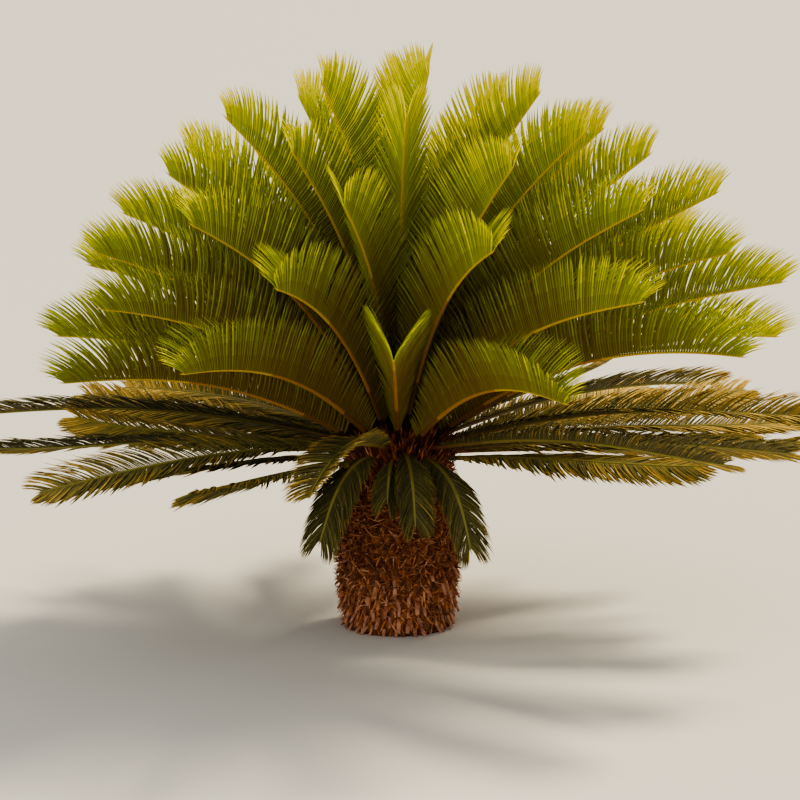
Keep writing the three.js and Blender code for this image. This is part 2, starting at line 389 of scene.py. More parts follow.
@dataclass(frozen=True)
class BarkFinish:
    """The trunk under its scales: painted shade in the pits between leaf bases, red-brown and fibrous on them.
    """

    name: str
    # Near-black painted shade in the pits between leaf bases.
    painted_pit_shade: Colour
    base: Colour
    # Lighter colour on the raised middles of the leaf bases.
    raised_middle: Colour
    places: tuple[float, float, float] = (0.15, 0.5, 0.95)
    attribute: str = "stand_out"
    by_height: float = 0.75
    by_fibre: float = 0.35
    fibre_scale: tuple[float, float, float] = (420, 420, 60)
    roughness: float = 0.95
    fibre_polish: float = 0.15
    ripple: float = 1.2 * MM
    ripple_strength: float = 0.7

    def material(self) -> bpy.types.Material:
        """Makes the material.

        Returns:
            The material.
        """
        shader = Shader(self.name)
        reading = shader.node("ShaderNodeAttribute", {"attribute_name": self.attribute}, {})
        stand_out = Wave(shader, reading.outputs["Fac"])
        fibre = shader.noise(1, detail=4, at=shader.stretched(self.fibre_scale))
        # Colour rises from the painted shade of the pits to the raised middles, with fibres mixed in.
        tone = stand_out * self.by_height + fibre * self.by_fibre
        colour = shader.ramp(tone, list(zip(self.places, (self.painted_pit_shade, self.base, self.raised_middle))))
        shader.dress(Base_Color=colour, Roughness=self.roughness - self.fibre_polish * fibre)
        shader.relief(fibre, self.ripple, self.ripple_strength)
        return shader.material


@dataclass(frozen=True)
class FloorFinish:
    """The studio's plain pale floor."""

    name: str
    colour: Colour
    roughness: float = 0.9

    def material(self) -> bpy.types.Material:
        """Makes the material.

        Returns:
            The material.
        """
        shader = Shader(self.name)
        shader.dress(Base_Color=self.colour, Roughness=self.roughness)
        return shader.material


Finish = Union[LeafFinish, DryFinish, BarkFinish, FloorFinish]


class Flush(Enum):
    """The two flushes of fronds, by the names of their nodes."""

    YOUNG = "young_frond"
    OLD = "old_fronds"


@dataclass(frozen=True)
class FlushRule:
    """How one flush grows.

    A range runs from the flush's first frond to its last, and that of sweep from the blade's foot to its
    tip. tip_lift is a middle value and a spread. hanging gives the fronds that hang, each with its share of
    the usual length.
    """

    flush: Flush
    count: int
    per_node: int
    rise: tuple[float, float]
    arch: tuple[float, float]
    length: tuple[float, float]
    tip_lift: tuple[float, float]
    leaflet: tuple[float, float]
    sweep: tuple[float, float]
    fold: tuple[float, float]
    tip_turn: float
    blunt_from: float
    roll: float
    pairs: int
    half_width: float
    hanging: tuple[tuple[int, float], ...] = ()
    shingle: float = 0.3
    uneven: float = math.radians(1.4)

    @property
    def nodes(self) -> int:
        """How many CAD nodes the flush fills."""
        return self.count // self.per_node

    def node(self, n: int) -> str:
        """The CAD node that holds the flush's nth frond."""
        return f"{self.flush.value}_{n % self.nodes + 1:02d}"

    def leaflet_share(self, blade: np.ndarray) -> np.ndarray:
        """Leaflet length as a share of the longest one, from 0 at the stalk to 1 at the tip."""
        blunt = np.clip((blade - self.blunt_from) / (1 - self.blunt_from), 0, 1)
        return np.minimum(1, FIRST_LEAFLET + LEAFLET_GAIN * blade) * np.sqrt(1 - ROUNDING * blunt**2)


YOUNG = FlushRule(
    flush=Flush.YOUNG,
    count=50,
    per_node=1,
    rise=(math.radians(84), math.radians(12.5)),
    arch=(math.radians(30), math.radians(29)),
    length=(964 * MM, 978 * MM),
    tip_lift=(math.radians(-1), math.radians(6)),
    leaflet=(182 * MM, 177 * MM),
    sweep=(math.radians(66), math.radians(68)),
    fold=(math.radians(62), math.radians(58)),
    tip_turn=math.radians(42),
    blunt_from=0.8,
    roll=0,
    pairs=116,
    half_width=3.6 * MM,
)
OLD = FlushRule(
    flush=Flush.OLD,
    count=32,
    per_node=4,
    rise=(math.radians(3.9), math.radians(1)),
    arch=(math.radians(24), math.radians(4)),
    length=(1136 * MM, 765 * MM),
    tip_lift=(math.radians(11), math.radians(12)),
    leaflet=(128 * MM, 125 * MM),
    sweep=(math.radians(44), math.radians(39)),
    fold=(math.radians(20), math.radians(-20)),
    tip_turn=math.radians(16),
    blunt_from=0.84,
    roll=math.radians(34),
    pairs=152,
    half_width=3.4 * MM,
    uneven=math.radians(3.2),
    hanging=((10, 0.3), (15, 0.43), (18, 0.4), (23, 0.22), (31, 0.24)),
)
FROND_COUNT = YOUNG.count + OLD.count


@dataclass(frozen=True)
class RibRun:
    """Points and axes of a rib at several shares of its length, one row each."""

    point: np.ndarray
    along: np.ndarray
    across: np.ndarray
    upper: np.ndarray


class Frond:
    """One frond: where it sits on the dome and how it grows, by the source's rule."""

    def __init__(self, rule: FlushRule, n: int, place: int) -> None:
        """Sets out a frond.

        Args:
            rule: how its flush grows.
            n: its number in the flush, from 0.
            place: its place along the spiral, from 0 in the middle.
        """
        share = n / (rule.count - 1)
        turn = SPIRAL_START + place * GOLDEN_ANGLE
        seat = SEAT_REACH * math.sqrt((place + FIRST_SEAT) / FROND_COUNT)
        rise = math.asin(mix(math.sin(rule.rise[0]), math.sin(rule.rise[1]), share))
        reach = dict(rule.hanging).get(n, 1)
        self.rule = rule
        self.n = n
        self.hanging = reach < 1
        hang = HANG if self.hanging else 0
        self.arch = mix(*rule.arch, math.sqrt(share)) + hang
        self.foot = np.array([seat * math.cos(turn), seat * math.sin(turn), dome_height(seat)])
        self.bearing = turn + BEARING_SPREAD * vary(place, Trait.BEARING)
        self.sway = SWAY_SPREAD * vary(place, Trait.SWAY)
        self.roll = rule.roll * (-1) ** place + ROLL_SPREAD * vary(place, Trait.ROLL)
        sunward = SUNWARD_REACH * math.cos(self.bearing) * share
        spread = 1 + LENGTH_SPREAD * vary(place, Trait.LENGTH) + sunward
        self.length = mix(*rule.length, share) * spread * reach
        self.tip_lift = rule.tip_lift[0] + rule.tip_lift[1] * vary(place, Trait.TIP_LIFT)
        self.leaflet = mix(*rule.leaflet, share) * (HANG_LEAFLET + reach if hang else 1)
        self.fold = mix(*rule.fold, share) - (HANG_FOLD if hang else 0)
        self.rise = rise + RISE_SPREAD * vary(place, Trait.RISE) - HANG_DROP * hang
        self.foot_rise = self.rise + self.arch / 2
        self.chance = np.random.default_rng(SEED * SEED_STEP + place)
        middles = (np.arange(STEPS) + 0.5) / STEPS
        steps = self.direction(middles) * self.length / STEPS
        self.walk = np.vstack([np.zeros(3), np.cumsum(steps, axis=0)])

    def direction(self, share: np.ndarray) -> np.ndarray:
        """Works out which way the frond runs.

        Args:
            share: shares of its length.

        Returns:
            Its directions there, one row each.
        """
        rise = self.foot_rise - self.arch * smoothstep(share) + self.tip_lift * share**TIP_LIFT_POWER
        bearing = self.bearing + self.sway * share**SWAY_POWER
        level = np.cos(rise)
        return np.stack([level * np.cos(bearing), level * np.sin(bearing), np.sin(rise)], axis=-1)

    def rib(self, share: np.ndarray) -> RibRun:
        """Works out the rib. Below 0 it runs straight down into the dome.

        Args:
            share: shares of its length, in one row.

        Returns:
            The rib's points and axes.
        """
        held = np.clip(share, 0, 1)
        whole = np.minimum(np.floor(held * STEPS), STEPS - 1).astype(int)
        part = held * STEPS - whole
        last = self.direction((whole + part / 2) / STEPS) * (part * self.length / STEPS)[:, None]
        along = self.direction(held)
        point = self.foot + self.walk[whole] + last + along * (np.minimum(share, 0) * self.length)[:, None]
        level = np.array([-math.sin(self.bearing), math.cos(self.bearing), 0])
        upper = unit(np.cross(along, level))
        across = unit(np.cross(upper, along))
        turn = (self.roll * held)[:, None]
        turned = across * np.cos(turn) + upper * np.sin(turn)
        raised = upper * np.cos(turn) - across * np.sin(turn)
        return RibRun(point, along, turned, raised)


def rib_half(share: np.ndarray) -> np.ndarray:
    """Half the rib's width at shares of its length, with the flare at its foot."""
    held = np.clip(share, 0, 1)
    return mix(*RIB_WIDTH, held) / 2 + FOOT_FLARE * np.exp(-held / FLARE_SHARE)


def placed(name: str, mesh: bpy.types.Mesh, finishes: list[Finish]) -> bpy.types.Object:
    """Puts a mesh in the scene.

    Args:
        name: the object's name.
        mesh: its mesh, in its place.
        finishes: its finishes, in the order of the mesh's material numbers.

    Returns:
        The object, dressed.
    """
    for finish in finishes:
        mesh.materials.append(finish.material())
    made = bpy.data.objects.new(name, mesh)
    bpy.context.scene.collection.objects.link(made)
    return made


class Growth:
    """Many small closed shapes gathered from arrays into one mesh."""

    def __init__(self) -> None:
        """Starts with nothing in it."""
        self.points: list[np.ndarray] = []
        self.faces: list[np.ndarray] = []
        self.tints: list[np.ndarray] = []
        self.total = 0

    def add(self, points: np.ndarray, faces: np.ndarray, tints: np.ndarray) -> None:
        """Adds copies of one shape.

        Args:
            points: the copies' points, as copies by points by 3.
            faces: the shape's triangles.
            tints: the material number of each copy's faces, or one for each copy or for all of them.
        """
        copies, size = points.shape[:2]
        offsets = self.total + size * np.arange(copies)
        self.points.append(points.reshape(-1, 3))
        self.faces.append((faces[None] + offsets[:, None, None]).reshape(-1, 3))
        self.tints.append(np.broadcast_to(tints, (copies, len(faces))).reshape(-1))
        self.total += copies * size

    def piece(self, name: str, finishes: list[Finish], smooth: bool = False) -> bpy.types.Object:
        """Makes the object.

        Args:
            name: the piece's name.
            finishes: its finishes, in the order of the material numbers.
            smooth: whether its faces are shaded smooth.

        Returns:
            The object, in the scene.
        """
        points = np.concatenate(self.points).astype(np.float32)
        faces = np.concatenate(self.faces).astype(np.int32)
        tints = np.concatenate(self.tints).astype(np.int32)
        mesh = bpy.data.meshes.new(name)
        mesh.vertices.add(len(points))
        mesh.vertices.foreach_set("co", points.ravel())
        mesh.loops.add(faces.size)
        mesh.loops.foreach_set("vertex_index", faces.ravel())
        mesh.polygons.add(len(faces))
        mesh.polygons.foreach_set("loop_start", np.arange(0, faces.size, 3, dtype=np.int32))
        mesh.polygons.foreach_set("material_index", tints)
        mesh.polygons.foreach_set("use_smooth", np.full(len(faces), smooth))
        mesh.update(calc_edges=True)
        mesh.validate()
        return placed(name, mesh, finishes)


def ring_faces(rings: int, corners: int) -> np.ndarray:
    """Joins the rings of a tube.

    Args:
        rings: how many rings it has.
        corners: how many corners a ring has.

    Returns:
        The triangles between them, ring by ring, facing outwards.
    """
    faces = []
    for ring in range(rings - 1):
        for corner in range(corners):
            a = ring * corners + corner
            b = ring * corners + (corner + 1) % corners
            faces += [(a, b, b + corners), (a, b + corners, a + corners)]
    return np.array(faces, int).reshape(-1, 3)


@dataclass(frozen=True)
class StripForm:
    """A curved tapering strip, ridged above and perhaps below, closed at its foot and pointed at its tip."""

    widths: tuple[float, ...]
    ridge: float = 0.36
    keel: float = 0

    @property
    def rings(self) -> int:
        """How many sections it has before its tip."""
        return len(self.widths)

    @property
    def corners(self) -> int:
        """How many corners a section has: its two edges, its ridge and its keel, if it has one."""
        return 4 if self.keel else 3

    def faces(self) -> np.ndarray:
        """Joins the strip's points.

        Returns:
            Its triangles: its foot's, its sides' and its tip's.
        """
        count = self.corners
        last = count * (self.rings - 1)
        foot = [(0, c + 1, c) for c in range(1, count - 1)]
        end = [(last + c, last + (c + 1) % count, last + count) for c in range(count)]
        return np.concatenate([foot, ring_faces(self.rings, count), end])

    def parts(self) -> np.ndarray:
        """Numbers the sections of the strip.

        Returns:
            The section that each triangle belongs to, from 0 at its foot.
        """
        count = self.corners
        sides = np.repeat(np.arange(self.rings - 1), 2 * count)
        return np.concatenate([[0] * (count - 2), sides, [self.rings - 1] * count])

    def halves(self) -> np.ndarray:
        """Tells the strip's halves apart.

        Returns:
            1 for each triangle on the side that its width runs to, and -1 on the other one.
        """
        half = np.array([1, -1, -1, 1] if self.keel else [1, -1, 0])
        sides = np.tile(np.repeat(half, 2), self.rings - 1)
        return np.concatenate([[0] * (self.corners - 2), sides, half])

    def grow(
        self, foot: np.ndarray, bend: np.ndarray, tip: np.ndarray, width: np.ndarray, half: np.ndarray
    ) -> np.ndarray:
        """Works out the points of many strips.

        Args:
            foot: where each one starts.
            bend: the point that its curve is drawn to.
            tip: where each one ends.
            width: the way that its flat side runs, across it.
            half: half its greatest width.

        Returns:
            The points, as strips by points by 3.
        """
        rows = []
        for ring, share in enumerate(np.linspace(0, 1, self.rings, endpoint=False)):
            middle = foot * (1 - share) ** 2 + bend * (2 * share * (1 - share)) + tip * share**2
            along = unit((bend - foot) * (1 - share) + (tip - bend) * share)
            flat = unit(width - along * np.sum(width * along, axis=-1, keepdims=True))
            out = np.cross(along, flat)
            reach = (half * self.widths[ring])[:, None]
            rows += [middle + flat * reach, middle + out * reach * self.ridge * 2, middle - flat * reach]
            if self.keel:
                rows.append(middle - out * reach * self.keel * 2)
        return np.stack(rows + [tip], axis=1)


@dataclass(frozen=True)
class Tints:
    """Leaf colours from the painted shade of the crown's heart to the painted sunlit tips, over the leaves'
    own browns and greens, dealt out by frond and by spray.

    A leaflet's number on the scale of levels rises from start by how far it is along the blade, partly the
    leaf's own colour and partly painted shade towards the crown's heart; by how its frond points to the light,
    as painted sunlight; and by chance. A hanging frond's leaflets drop by painted shade. Each face of a
    leaflet adds its own share by its section, lighter towards the tip as partly its own colour and partly a
    painted highlight, and by its half, one half painted lit and the other painted shaded.
    """

    name: str
    anchors: tuple[Colour, ...]
    # Darker towards the blade's foot: partly the leaf's own colour, partly painted shade of the crown's heart.
    by_blade_colour_and_shade: float
    by_sun: float
    # Lighter towards each leaflet's tip: partly its own colour, partly a painted highlight.
    by_part_tint_and_highlight: float
    # One half of each leaflet painted lighter and the other painted darker, as its lit and shaded sides.
    by_half_painted_light_and_shade: float
    start: float
    spread: float
    roughness: float = 0.6
    gloss: float = 0.13
    power: float = 2.1
    shades: int = 12
    levels: float = 8
    sun: tuple[float, float, float] = (0.29, 1.02, 0.8)
    sun_reach: tuple[float, float] = (0.2, 1.15)
    # How strongly each leaflet takes its faces' painted highlight and painted shade.
    depth: tuple[float, float] = (0.5, 1.5)
    # Painted shade on the hanging fronds.
    hanging: float = -1.6

    def finishes(self) -> list[LeafFinish]:
        """Grades the shades between the anchor colours.

        Returns:
            One finish a shade, from dark to light.
        """
        made = []
        for shade in range(self.shades):
            step = shade / (self.shades - 1) * (len(self.anchors) - 1)
            low = min(int(step), len(self.anchors) - 2)
            colour = tuple(mix(a, b, step - low) for a, b in zip(self.anchors[low], self.anchors[low + 1]))
            made.append(LeafFinish(f"{self.name}_{shade + 1}", colour, self.roughness, self.gloss))
        return made

    def deal(self, frond: Frond, blade: np.ndarray, shading: np.ndarray) -> np.ndarray:
        """Deals tints to the faces of a row of leaflets.

        Args:
            frond: the frond they are on.
            blade: each leaflet's share of the blade.
            shading: how much lighter each face of a leaflet is than its foot.

        Returns:
            Material numbers, as leaflets by faces.
        """
        sunward = self.sun[0] * math.cos(frond.bearing) + self.sun[1] * math.sin(frond.bearing)
        lit = self.by_sun * (sunward * math.cos(frond.rise) + self.sun[2] * math.sin(frond.rise))
        spray = frond.chance.normal(0, self.spread, len(blade))
        # A hanging frond's leaflets start lower, as painted shade.
        start = self.start + (self.hanging if frond.hanging else 0)
        # Painted sunlight by the frond's direction, painted shade towards the blade's foot, and chance.
        leaflet = start + lit * mix(*self.sun_reach, blade) + self.by_blade_colour_and_shade * blade**self.power + spray
        depth = frond.chance.uniform(*self.depth, (len(blade), 1))
        # Each face adds its painted highlight and painted shade, scaled per leaflet.
        every = (leaflet[:, None] + shading[None] * depth) * (self.shades - 1) / self.levels
        return np.clip(np.rint(every), 0, self.shades - 1).astype(int)


@dataclass(frozen=True)
class Leaflets:
    """The two rows of leaflets of many fronds.

    A leaflet is drawn to a bend that leads its tip towards the frond's end and lifts above it. Its foot sits
    at a share of the rib's half width, and sinks into the rib.
    """

    fronds: list[Frond]
    tints: Tints
    form: StripForm = StripForm(widths=(0.75, 1.0, 1.0, 0.8), ridge=0.24, keel=0.2)
    lead: float = math.radians(12)
    lift: float = math.radians(9)
    bend_share: float = 0.5
    stagger: float = 0.25
    seat_share: float = 0.8
    sink: float = 1.5 * MM
    broadening: tuple[float, float] = (1.2, 0.95)
    uneven_reach: float = 0.02

    def grow(self, frond: Frond, side: int, growth: Growth) -> None:
        """Adds the leaflets on one side of a frond.

        Args:
            frond: the frond.
            side: 1 for its left, -1 for its right.
            growth: the mesh that they join.
        """
        rule = frond.rule
        chance = frond.chance
        blade = ((np.arange(rule.pairs) + 0.5 + self.stagger * side) / rule.pairs) ** TIP_CROWDING
        share = mix(STALK_SHARE, 1, blade)
        rib = frond.rib(share)
        sweep = mix(*rule.sweep, blade) - rule.tip_turn * blade**TIP_TURN_POWER
        sweep = sweep + chance.normal(0, rule.uneven, rule.pairs)
        fold = frond.fold + chance.normal(0, rule.uneven, rule.pairs)
        uneven = 1 + chance.normal(0, self.uneven_reach, rule.pairs)
        reach = frond.leaflet * rule.leaflet_share(blade) * uneven
        half = rib_half(share)[:, None]
        foot = rib.point + rib.across * side * half * self.seat_share - rib.upper * self.sink
        tip = rib.point + self.ray(rib, side, sweep, fold, reach)
        bend = rib.point + self.ray(rib, side, sweep + self.lead, fold + self.lift, reach * self.bend_share)
        out = rib.across * side * math.cos(frond.fold) + rib.upper * math.sin(frond.fold)
        face = np.cross(rib.along, out) * side
        width = rib.along * side + face * rule.shingle * side
        half_width = rule.half_width * mix(*self.broadening, blade)
        points = self.form.grow(foot, bend, tip, width, half_width)
        # Painted light on each face: lighter towards the leaflet's tip, partly its own colour and partly a
        # painted highlight, and one half painted lit, the other painted shaded.
        shading = self.tints.by_part_tint_and_highlight * self.form.parts() + self.tints.by_half_painted_light_and_shade * side * self.form.halves()
        growth.add(points, self.form.faces(), self.tints.deal(frond, blade, shading))

    @staticmethod
    def ray(rib: RibRun, side: int, sweep: np.ndarray, fold: np.ndarray, reach: np.ndarray) -> np.ndarray:
        """The step from the rib to a leaflet's point, by its sweep, fold and reach."""
        out = rib.across * (side * np.cos(fold))[:, None] + rib.upper * np.sin(fold)[:, None]
        return (rib.along * np.cos(sweep)[:, None] + out * np.sin(sweep)[:, None]) * reach[:, None]

    def piece(self, name: str) -> bpy.types.Object:
        """Makes the leaflets one piece.

        Args:
            name: its name.

        Returns:
            The object.
        """
        growth = Growth()
        for frond in self.fronds:
            for side in (1, -1):
                self.grow(frond, side, growth)
        return growth.piece(name, self.tints.finishes())


@dataclass(frozen=True)
class Ribs:
    """The ribs of many fronds, with the thick stalk and its small spines.

    section is the rib's outline, as shares of its half width and its depth. The finishes run from stalk to
    rib's end and change at the shares in changes.
    """

    fronds: list[Frond]
    finishes: tuple[LeafFinish, ...]
    section: tuple[tuple[float, float], ...] = (
        (1, 0), (0.55, 0.14), (-0.55, 0.14), (-1, 0),
        (-0.9, -0.5), (-0.45, -0.95), (0.45, -0.95), (0.9, -0.5),
    )
    changes: tuple[float, ...] = (0.1, 0.24, 0.62)
    stalk_rings: int = 9
    blade_rings: int = 30
    tip: float = 22 * MM
    spines: int = 8
    spine: StripForm = StripForm(widths=(1.0,))
    spines_from: float = 0.35
    spine_seat: float = 0.9
    spine_sink: float = 1 * MM
    spine_lead: float = 0.5
    spine_lift: float = 0.4
    spine_length: float = 6 * MM
    spine_spread: tuple[float, float] = (0.5, 1.3)
    spine_half: float = 1.3 * MM

    def grow(self, frond: Frond, growth: Growth) -> None:
        """Adds a frond's rib, from its root in the dome to a fine point.

        Args:
            frond: the frond.
            growth: the mesh that it joins.
        """
        stalk = np.linspace(0, STALK_SHARE, self.stalk_rings, endpoint=False)
        blade = np.linspace(STALK_SHARE, 1, self.blade_rings)
        share = np.concatenate([[-ROOT_DEPTH / frond.length], stalk, blade])
        rib = frond.rib(share)
        half = rib_half(share)[:, None]
        depth = mix(*RIB_DEPTH, np.clip(share, 0, 1))[:, None]
        corners = [rib.point + rib.across * x * half + rib.upper * y * depth for x, y in self.section]
        rings = np.stack(corners, axis=1).reshape(-1, 3)
        tip = rib.point[-1] + rib.along[-1] * self.tip
        count = len(self.section)
        faces = ring_faces(len(share), count)[:, ::-1]
        start = [(0, c, c + 1) for c in range(1, count - 1)]
        last = count * (len(share) - 1)
        end = [(last + (c + 1) % count, last + c, len(rings)) for c in range(count)]
        shares = np.concatenate([np.repeat(share[1:], 2 * count), [0] * len(start), [1] * len(end)])
        tints = np.digitize(shares, self.changes)
        growth.add(np.vstack([rings, tip])[None], np.concatenate([faces, start, end]), tints)

    def grow_spines(self, frond: Frond, side: int, growth: Growth) -> None:
        """Adds the short spines on one edge of a frond's stalk.

        Args:
            frond: the frond.
            side: 1 for its left, -1 for its right.
            growth: the mesh that they join.
        """
        share = np.linspace(self.spines_from, 1, self.spines) * STALK_SHARE
        rib = frond.rib(share)
        edge = rib.point + rib.across * side * rib_half(share)[:, None] * self.spine_seat
        out = unit(rib.across * side + rib.along * self.spine_lead + rib.upper * self.spine_lift)
        spread = mix(*self.spine_spread, frond.chance.random(self.spines))
        tip = edge + out * (self.spine_length * spread)[:, None]
        half = np.full(self.spines, self.spine_half)
        points = self.spine.grow(edge - out * self.spine_sink, (edge + tip) / 2, tip, rib.along, half)
        growth.add(points, self.spine.faces(), np.array(0))

    def piece(self, name: str) -> bpy.types.Object:
        """Makes the ribs one piece.

        Args:
            name: its name.

        Returns:
            The object.
        """
        growth = Growth()
        for frond in self.fronds:
            self.grow(frond, growth)
            for side in (1, -1):
                self.grow_spines(frond, side, growth)
        return growth.piece(name, list(self.finishes), smooth=True)


@dataclass(frozen=True)
class FlushLook:
    """How one flush is made visible: its rule, its slot, its colours and the names of its pieces."""

    rule: FlushRule
    slot: str
    tints: Tints
    rib_finishes: tuple[LeafFinish, ...]
    ribs: str
    leaflets: tuple[str, str]


YOUNG_LOOK = FlushLook(
    rule=YOUNG,
    slot="young_leaf",
    tints=Tints(
        name="young_leaf",
        anchors=(
            (0.130, 0.088, 0.014),
            (0.172, 0.152, 0.016),
            (0.196, 0.240, 0.018),
            (0.362, 0.426, 0.020),
            (0.850, 0.750, 0.040),
        ),
        # Strengths of the painted shade towards the heart, the painted sunlight, the painted tip highlights
        # and the painted lit and shaded halves.
        by_blade_colour_and_shade=5.9,
        by_sun=2.4,
        by_part_tint_and_highlight=0.8,
        by_half_painted_light_and_shade=1.15,
        start=-0.7,
        spread=0.42,
    ),
    rib_finishes=(
        # Dark red-brown stalk, darkened further as painted shade of the crown's heart.
        LeafFinish("young_stalk_red_brown_and_painted_shade", (0.040, 0.014, 0.004), roughness=0.6),
        LeafFinish("young_rib_foot_brown", (0.170, 0.080, 0.014), roughness=0.5),
        LeafFinish("young_rib_orange", (0.400, 0.200, 0.022), roughness=0.45),
        LeafFinish("young_rib_gold", (0.560, 0.390, 0.034), roughness=0.42),
    ),
    ribs="young_ribs",
    leaflets=("young_leaflets_inner", "young_leaflets_outer"),
)
OLD_LOOK = FlushLook(
    rule=OLD,
    slot="old_leaf",
    tints=Tints(
        name="old_leaf",
        anchors=(
            (0.062, 0.056, 0.022),
            (0.118, 0.108, 0.036),
            (0.198, 0.174, 0.048),
            (0.400, 0.262, 0.048),
            (0.700, 0.470, 0.100),
        ),
        # Strengths of the painted shade towards the heart, the painted sunlight, the painted highlights
        # towards the tips and the painted lit and shaded halves.
        by_blade_colour_and_shade=3.4,
        by_sun=2.2,
        by_part_tint_and_highlight=0.8,
        by_half_painted_light_and_shade=2.2,
        start=0.6,
        spread=0.8,
    ),
    rib_finishes=(
        LeafFinish("old_stalk_pink_brown", (0.150, 0.058, 0.026), roughness=0.5),
        LeafFinish("old_rib_foot_brown", (0.150, 0.095, 0.024), roughness=0.5),
        LeafFinish("old_rib_olive", (0.170, 0.140, 0.028), roughness=0.45),
        LeafFinish("old_rib_yellow_green", (0.210, 0.195, 0.034), roughness=0.45),
    ),
    ribs="old_ribs",
    leaflets=("old_leaflets_upper", "old_leaflets_lower"),
)


def settle(piece: bpy.types.Object, slot: str, nodes: list[str]) -> None:
    """Rides a piece on the plant and lets it stand for CAD nodes.

    Args:
        piece: the finished piece.
        slot: the record's material slot; not used.
        nodes: the CAD nodes it stands for, if any.
    """
    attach(piece, BODY)
    if nodes:
        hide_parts(*nodes)
    triangles = sum(len(face.vertices) - 2 for face in piece.data.polygons)
    LOG.info("%s: %d triangles, stands for %d nodes", piece.name, triangles, len(nodes))


@dataclass(frozen=True)
class Crown:
    """The dome of fronds: two flushes along one spiral, the youngest in the middle.

    first_share is the share of a flush's fronds whose leaflets are in the first of its two pieces of them.
    """

    looks: tuple[FlushLook, ...] = (YOUNG_LOOK, OLD_LOOK)
    first_share: float = 0.5

    def build(self) -> None:
        """Makes the ribs and the leaflets of both flushes."""
        place = 0
        for look in self.looks:
            fronds = [Frond(look.rule, n, place + n) for n in range(look.rule.count)]
            place += len(fronds)
            middle = int(len(fronds) * self.first_share)
            self.finish(Ribs(fronds, look.rib_finishes).piece(look.ribs), fronds, look.slot)
            for name, part in zip(look.leaflets, (fronds[:middle], fronds[middle:])):
                self.finish(Leaflets(part, look.tints).piece(name), part, look.slot)

    @staticmethod
    def finish(piece: bpy.types.Object, fronds: list[Frond], slot: str) -> None:
        """Sets a piece in place of its fronds' nodes."""
        nodes = sorted({frond.rule.node(frond.n) for frond in fronds})
        settle(piece, slot, nodes)


def bark_place(turn: np.ndarray, z: np.ndarray) -> tuple[np.ndarray, np.ndarray, np.ndarray]:
    """Finds places on the bark.

    Args:
        turn: angles round the trunk.
        z: heights.

    Returns:
        The points there, and the ways out of the trunk and round it, one row each.
    """
    radius = np.array([barrel_radius(height) for height in z]) - CORE_DEPTH
    level = np.zeros(len(z))
    out = np.stack([np.cos(turn), np.sin(turn), level], axis=-1)
    point = out * radius[:, None] + np.stack([level, level, z], axis=-1)
    return point, out, np.cross(UP, out)


def hold_in(tip: np.ndarray) -> None:
    """Pulls tips back that would stand more than the bristle's depth out of the trunk.

    Args:
        tip: the tips, one row each, changed in place.
    """
    reach = np.hypot(tip[:, 0], tip[:, 1])
    radius = np.array([barrel_radius(min(max(z, 0), SHOULDER_HEIGHT)) for z in tip[:, 2]])
    pull = np.minimum(1, (radius + BRISTLE_DEPTH) / reach)
    tip[:, :2] *= pull[:, None]


def lift_clear(points: np.ndarray) -> None:
    """Lifts points that would reach the ground."""
    points[..., 2] = np.maximum(points[..., 2], GROUND_GAP)


